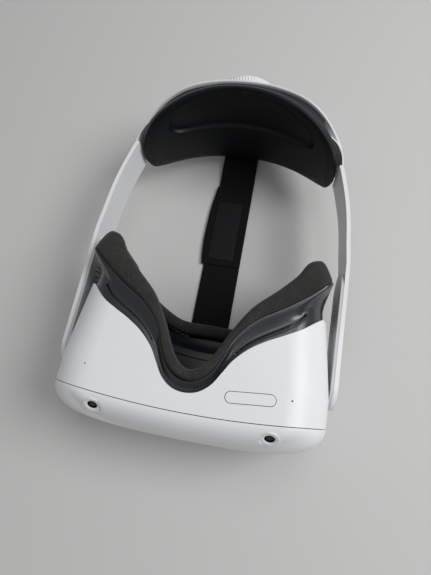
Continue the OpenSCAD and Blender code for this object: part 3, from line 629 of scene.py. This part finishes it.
ARM_LINE = [(101.4, 15.3), (101.4, 60), (101.4, 119), (100.9, 129), (99.8, 141), (98.2, 160),
            (95.2, 180), (89.6, 204), (87.8, 209)]
PLATE_LINE = [(98.25, 15.3), (98.25, 60), (98.25, 119)]
SLOTS, SLOT_FROM, SLOT_PITCH = 6, 74, 4
for side_name, s in SIDES:
    arm = band("outer_arm_" + side_name, [(s * x, y) for x, y in ARM_LINE], 3.0, white_abs)
    face_outwards(arm, s)
    baked(arm)
    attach(arm, "side_arms")
    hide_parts("arm_" + side_name)

    plate = band("speaker_arm_" + side_name + "_plate", [(s * x, y) for x, y in PLATE_LINE], 2.0,
                 grey_abs, rounded_end=True)
    face_outwards(plate, s)
    slots = []
    for k in range(SLOTS):
        slot_place = Matrix.Translation((s * 96.4, SLOT_FROM + SLOT_PITCH * k, 55.8)) @ turn("Y", 90)
        slots.append(drill(plate, "cut_sound", 8, 0.7, 1.5, slot_place))
    baked(plate)
    for slot in slots:
        bpy.data.objects.remove(slot)
    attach(plate, "side_arms")
    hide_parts("speaker_arm_" + side_name)


# --- rear cradle --------------------------------------------------------------------------
# White outer shell, black frame and a moulded pad, all curved about one upright axis inside the
# head. The pad is soft silicone-skinned foam with a shallow crescent pressed into its face.
CRADLE_Y = 130.8


def on_cradle(degrees, radius, z):
    a = math.radians(degrees)
    return (radius * math.sin(a), CRADLE_Y + radius * math.cos(a), z)


def slab(name, top, low, r_in, r_out, mat, roundness, reach, back_drop=0.0, room=None):
    """A curved slab between an upper and a lower half outline given as (degrees, z) points.
    Its top may slope down towards the back by back_drop. room gives the largest radius at
    (degrees, radius) points, where the slab makes way for the arms. Rings stand closer
    together towards the two tips, by as much as bunching."""
    half_rings, ring_points, bunching = 60, 96, 0.35
    top, low = half_curve(top), half_curve(low)
    rows = []
    for k in range(2 * half_rings + 1):
        t = (k - half_rings) / half_rings
        angle = reach * ((1 + bunching) * t - bunching * t ** 3)
        hi, lo = read(top, angle), read(low, angle)
        mid, half = (hi + lo) / 2, max(0.15, (hi - lo) / 2)
        back = min(r_out, np.interp(abs(angle), *zip(*room))) if room else r_out
        thick = (back - r_in) / 2 * min(1, half / (0.8 * (r_out - r_in))) ** 0.5
        loop = []
        for m in range(361):
            c, d = math.cos(math.radians(m)), math.sin(math.radians(m))
            radius = (r_in + back) / 2 + thick * squarer(c, roundness)
            z = mid + half * squarer(d, roundness)
            z -= back_drop * max(0, d) * (radius - r_in) / (r_out - r_in) * min(1, half / 25)
            loop.append((radius, z))
        rows.append([on_cradle(angle, radius, z) for radius, z in evenly_spaced(loop, ring_points)])
    return solid(name, *loft(rows, caps=True), mat)


rubber = blank("black_soft_pad_skin")
place = add(rubber, "TexCoord", {}).outputs["Object"]
drift = add(rubber, "TexNoise", {"Vector": place, "Scale": 35.0, "Detail": 4.0})
tone = add(rubber, "Mix", {0: drift.outputs["Fac"], 6: linear("#0A0C0F"), 7: linear("#0F1216")},
           data_type="RGBA")
skin = add(rubber, "TexNoise", {"Vector": place, "Scale": 900.0, "Detail": 2.0})
bump = add(rubber, "Bump", {"Height": skin.outputs["Fac"], "Strength": 0.25, "Distance": 0.00003})
shown(rubber, add(rubber, "BsdfPrincipled", {
    "Base Color": tone.outputs[2], "Roughness": 0.44, "Normal": bump.outputs[0],
    "Specular IOR Level": 0.25}))

PAD_TOP = [[0, 110.6], [10, 110], [15, 109], [23, 106], [29, 102], [35, 97], [40, 90], [44, 81],
           [47, 70], [49, 60]]
PAD_LOW = [[0, 14.8], [10, 15.3], [16, 16.6], [24, 18.8], [33, 22.2], [41, 27.5], [46, 36.5], [49, 58]]
ARM_ROOM = [(37, 136), (41, 124.6), (44.7, 116.4), (49.4, 111.8)]
pad = slab("head_pad_skin", PAD_TOP, PAD_LOW, 111.0, 121.0, rubber, 0.3, 48.2, back_drop=8, room=ARM_ROOM)
TIP_X = 79  # mm: beyond it the pad's tips lie against the arms, so they are held
swollen(pad, 0.5, [v.index for v in pad.data.vertices if abs(v.co.x) > TIP_X / 1000])
# The crescent is deepest along its lower edge and fades towards the top by DENT_FADE. It ends
# at DENT_REACH degrees, and nothing behind the radius DENT_BACK moves.
DENT_DEPTH, DENT_FADE, DENT_REACH, DENT_BACK = 3.4, 0.45, 35, 116
DENT_LOW = half_curve([[0, 63.2], [12, 63], [25, 63], [31, 66.5], [35, 75]])
DENT_TOP = half_curve([[0, 108], [8, 107.3], [16, 105.2], [23, 99.4], [30, 91], [35, 76]])
for v in pad.data.vertices:
    x, y, z = (c * 1000 for c in v.co)
    radius, angle = math.hypot(x, y - CRADLE_Y), math.degrees(math.atan2(x, y - CRADLE_Y))
    if radius < DENT_BACK:
        floor_z, roof_z = read(DENT_LOW, angle), read(DENT_TOP, angle) - 2
        push = DENT_DEPTH * smoothstep(-1.2, 1.6, z - floor_z) * smoothstep(-1, 7, roof_z - z)
        push *= smoothstep(-0.8, 3.5, DENT_REACH - abs(angle))
        push *= 1 - DENT_FADE * smoothstep(2, 30, z - floor_z)
        v.co.x += push * math.sin(math.radians(angle)) / 1000
        v.co.y += push * math.cos(math.radians(angle)) / 1000
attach(pad, "cradle")
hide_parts("head_pad")

SHELL_TOP = [[0, 94], [11, 94], [22, 92], [30, 84.5], [36.5, 72], [40.8, 61]]
SHELL_LOW = [[0, 7], [11, 11], [22, 20], [31, 30], [37.5, 42], [40.8, 59]]
outer = slab("cradle_outer_shell", SHELL_TOP, SHELL_LOW, 132.1, 134.4, white_abs, 0.3, 40.6)
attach(outer, "cradle")
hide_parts("cradle_shell")


# --- adjusting dial -----------------------------------------------------------------------
# A white knob behind the cradle that winds the two racks together. Its rim carries moulded
# grips, evenly spaced round it.
DIAL = Matrix.Translation((0, 265.9, 62)) @ turn("X", -90)
DIAL_PROFILE = [(0.01, 11.0), (0.3, 11.0), (21.5, 11.0), (24.8, 10.4), (26.2, 9.2), (26.4, 8.0),
                (26.4, 0.6), (25.8, 0.1), (0.01, 0.1)]
GRIPS, GRIP_MIDDLE = 64, 4.6
dial = solid("dial_body", *turned(DIAL_PROFILE, DIAL, 96), white_abs)
tree = bpy.data.node_groups.new("dial_grips", "GeometryNodeTree")
tree.interface.new_socket("Geometry", in_out="INPUT", socket_type="NodeSocketGeometry")
for label, value in (("Radius", 0.0263), ("Grip radius", 0.0006), ("Grip length", 0.0072)):
    tree.interface.new_socket(label, in_out="INPUT", socket_type="NodeSocketFloat").default_value = value
tree.interface.new_socket("Geometry", in_out="OUTPUT", socket_type="NodeSocketGeometry")


given = tree.nodes.new("NodeGroupInput")
ring = new_node(tree, "GeometryNodeCurvePrimitiveCircle", {
    "Resolution": GRIPS, "Radius": given.outputs["Radius"]})
spots = new_node(tree, "GeometryNodeCurveToPoints", {"Curve": ring.outputs[0], "Count": GRIPS})
grip = new_node(tree, "GeometryNodeMeshCylinder", {
    "Vertices": 10, "Radius": given.outputs["Grip radius"], "Depth": given.outputs["Grip length"]})
placed = new_node(tree, "GeometryNodeInstanceOnPoints", {
    "Points": spots.outputs[0], "Instance": grip.outputs[0]})
realized = new_node(tree, "GeometryNodeRealizeInstances", {"Geometry": placed.outputs[0]})
skinned = new_node(tree, "GeometryNodeSetMaterial", {
    "Geometry": realized.outputs[0], "Material": white_abs})
new_node(tree, "NodeGroupOutput", {"Geometry": skinned.outputs[0]})
grips = solid("dial_grips", [(0, 0, 0), (1, 0, 0), (0, 1, 0)], [(0, 1, 2)], white_abs)
modified(grips, "NODES", node_group=tree)
baked(grips)
to_mm, to_m = Matrix.Diagonal((1000, 1000, 1000, 1)), Matrix.Diagonal((0.001, 0.001, 0.001, 1))
grips.data.transform(to_m @ DIAL @ Matrix.Translation((0, 0, GRIP_MIDDLE)) @ to_mm)
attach(dial, "dial")
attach(grips, "dial")
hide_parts("dial_knob")


# --- top strap ----------------------------------------------------------------------------
# Black woven polyester webbing, 34 mm wide, running under the pad from the visor's edge. The
# rear length is folded over and sewn down across the strap at the seam.
webbing = blank("black_polyester_webbing")
place = add(webbing, "TexCoord", {}).outputs["Object"]
warp = add(webbing, "TexWave", {"Vector": place, "Scale": 260.0, "Distortion": 0.4}, wave_type="BANDS",
           bands_direction="X")
weft = add(webbing, "TexWave", {"Vector": place, "Scale": 150.0, "Distortion": 0.4}, wave_type="BANDS",
           bands_direction="Y")
cloth_depth = add(webbing, "Math", {0: warp.outputs["Fac"], 1: weft.outputs["Fac"]}, operation="MULTIPLY")
tone = add(webbing, "Mix", {0: cloth_depth.outputs[0], 6: linear("#050608"), 7: linear("#0B0C0F")},
           data_type="RGBA")
bump = add(webbing, "Bump", {"Height": cloth_depth.outputs[0], "Strength": 0.5, "Distance": 0.0003})
shown(webbing, add(webbing, "BsdfPrincipled", {
    "Base Color": tone.outputs[2], "Roughness": 0.85, "Normal": bump.outputs[0],
    "Specular IOR Level": 0.2, "Sheen Weight": 0.02, "Sheen Roughness": 0.5}))
# The webbing's left and right edges in x, 34 mm apart and off the middle by 3.2 mm
STRAP_SIDES = (-20.2, 13.8)


def webbing_run(name, line, thickness, mat):
    """Flat webbing along (y, z, left, right) points of its underside, with rounded selvedges."""
    rows = []
    for y, z, left, right in curve_through(line, 14):
        row = []
        for k in range(24):
            a = 2 * math.pi * k / 24
            row.append(((left + right) / 2 + (right - left) / 2 * squarer(math.cos(a), 0.12), y,
                        z + thickness / 2 + thickness / 2 * squarer(math.sin(a), 0.7)))
        rows.append(row)
    return solid(name, *loft(rows, caps=True), mat)


front_strap = webbing_run("top_strap_front_webbing", [
    (y, z, *STRAP_SIDES) for y, z in ((58, 0.35), (90, 0.5), (120, 0.4), (150, 0.35))], 1.7, webbing)
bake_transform(front_strap)
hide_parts("top_strap_front")
rear_strap = webbing_run("top_strap_rear_webbing", [
    (y, z, *STRAP_SIDES) for y, z in ((150.1, 0.35), (175, 0.4), (200, 0.5), (220, 1.3), (235, 3.5),
                                      (252.5, 5.4), (258.3, 5.4))], 1.7, webbing)
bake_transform(rear_strap)
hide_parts("top_strap_rear")

# The strap's end comes back through the loop and is sewn down as a second layer, a little askew.
second_layer = webbing_run("top_strap_second_layer", [
    (132, 2.1, -22.6, 13.3), (145, 2.1, -24.2, 13.1), (162, 2.1, -25.0, 13.0), (188, 2.2, -24.3, 13.4),
    (204, 2.4, -22.6, 13.7), (215, 2.8, -21.2, 13.9)], 1.2, webbing)
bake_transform(second_layer)

# Bare woven label on the second layer, tighter and smoother than the webbing.
ribbon = blank("black_satin_ribbon")
place = add(ribbon, "TexCoord", {}).outputs["Object"]
rib = add(ribbon, "TexWave", {"Vector": place, "Scale": 420.0, "Distortion": 0.3}, bands_direction="Y")
tone = add(ribbon, "Mix", {0: rib.outputs["Fac"], 6: linear("#08090B"), 7: linear("#101115")},
           data_type="RGBA")
bump = add(ribbon, "Bump", {"Height": rib.outputs["Fac"], "Strength": 0.3, "Distance": 0.0001})
shown(ribbon, add(ribbon, "BsdfPrincipled", {
    "Base Color": tone.outputs[2], "Roughness": 0.6, "Normal": bump.outputs[0],
    "Specular IOR Level": 0.2}))
label = webbing_run("strap_label_bare", [
    (137.5, 3.31, -17.4, 6.2), (160, 3.31, -17.6, 6.0), (180, 3.38, -17.4, 6.2), (199, 3.55, -17.0, 6.6)],
    0.4, ribbon)
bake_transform(label)


# --- arm tails ----------------------------------------------------------------------------
# Flexible nylon ends of the white arms, which bend round behind the pad's frame to the racks.
# They are narrow at the racks and widen to the arms' own height where they meet the arms.
TAIL_LINE = [(87.8, 209), (86.4, 219), (81.2, 229.3), (70.2, 237.9), (55.2, 247), (40, 252.6),
             (25, 256.6), (22.4, 257.1)]
for side_name, s in SIDES:
    rows = []
    for x, y in curve_through([(s * x, y) for x, y in TAIL_LINE], 10):
        near_arm = smoothstep(74, 87, abs(x))
        rows.append(upright_row(x, y, 61.8 - 5.0 * near_arm, 11.4 + 4.2 * near_arm, 8))
    tail = solid("arm_tail_" + side_name, *loft(rows, closed_ring=False), white_abs)
    modified(tail, "SOLIDIFY", thickness=0.0011, offset=0)
    rounded_edges(tail, 0.3)
    baked(tail)
    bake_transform(tail)
    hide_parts("strip_" + side_name)


# --- inner parts --------------------------------------------------------------------------
# What sits inside the visor and behind the cradle keeps the shape it was built with. Only its
# finish is set here, from its material slot.
def metal(name, colour, rough):
    mat = blank(name)
    place = add(mat, "TexCoord", {}).outputs["Object"]
    lines = add(mat, "TexNoise", {"Vector": place, "Scale": 600.0, "Detail": 3.0})
    matt = add(mat, "MapRange", {
        "Value": lines.outputs["Fac"], "To Min": rough - 0.08, "To Max": rough + 0.08})
    return shown(mat, add(mat, "BsdfPrincipled", {
        "Base Color": linear(colour), "Metallic": 1.0, "Roughness": matt.outputs[0]}))


steel = metal("stainless_steel", "#B9BBBE", 0.3)
alloy = metal("cast_aluminium", "#A9ACB0", 0.45)
board = moulded("green_circuit_board", "#1B4B2E", "#153D26", 0.4, 1.0, 0.02, coat=0.3)
wrap = moulded("battery_wrap_film", "#2B2F36", "#24272D", 0.35, 2.0, 0.02)
clear = blank("clear_acrylic_lens")
shown(clear, add(clear, "BsdfPrincipled", {
    "Base Color": linear("#DDE4EA"), "Roughness": 0.02, "IOR": 1.49, "Transmission Weight": 1.0}))
barrel = moulded("black_camera_barrel", "#0B0C0D", "#070808", 0.5, 0.8, 0.02)
FINISH = {
    "light_grey_plastic": grey_abs, "black_plastic": black_pc, "circuit_board": board, "steel": steel,
    "alloy": alloy, "camera_black": barrel, "lens_clear": clear, "screen": camera_glass,
    "battery_wrap": wrap, "white_shell": white_abs, "face_foam": foam_knit, "soft_pad": rubber,
    "woven_strap": webbing}
for row in frame["record"]["subparts"]:
    part = frame["nodes"][row["node"]]
    part.data.materials.clear()
    part.data.materials.append(FINISH[row["material_slot"]])


# --- floor and light ----------------------------------------------------------------------
# A plain pale floor under one broad lamp from the side, a smaller one overhead, and an even
# sky. Colours are shown as they are, with no film curve over them.
pale = blank("pale_floor")
shown(pale, add(pale, "BsdfPrincipled", {"Base Color": linear("#C9C9C8"), "Roughness": 0.8}))
FLOOR_HALF, FLOOR_Z = 3000, -0.1
corners = [(x * FLOOR_HALF, y * FLOOR_HALF, FLOOR_Z) for x, y in ((-1, -1), (1, -1), (1, 1), (-1, 1))]
floor = solid("floor", corners, [(0, 1, 2, 3)], pale, smooth=False)


def lamp(name, place, target, size, power):
    light = bpy.data.lights.new(name, "AREA")
    light.shape = "DISK"
    light.size = size
    light.energy = power
    obj = bpy.data.objects.new(name, light)
    bpy.context.scene.collection.objects.link(obj)
    obj.location = place
    obj.rotation_euler = (Vector(target) - Vector(place)).to_track_quat("-Z", "Y").to_euler()


lamp("key_lamp", (1.05, 0.25, 1.25), (0, 0.1, 0.03), 0.9, 15.3)
lamp("overhead_lamp", (0.2, 0.5, 1.4), (0, 0.1, 0.05), 0.6, 2.4)
sky = bpy.data.worlds.new("even_sky")
bpy.context.scene.world = sky
sky.use_nodes = True
sky.node_tree.nodes["Background"].inputs["Color"].default_value = (1, 1, 1, 1)
sky.node_tree.nodes["Background"].inputs["Strength"].default_value = 0.32
bpy.context.scene.view_settings.view_transform = "Standard"
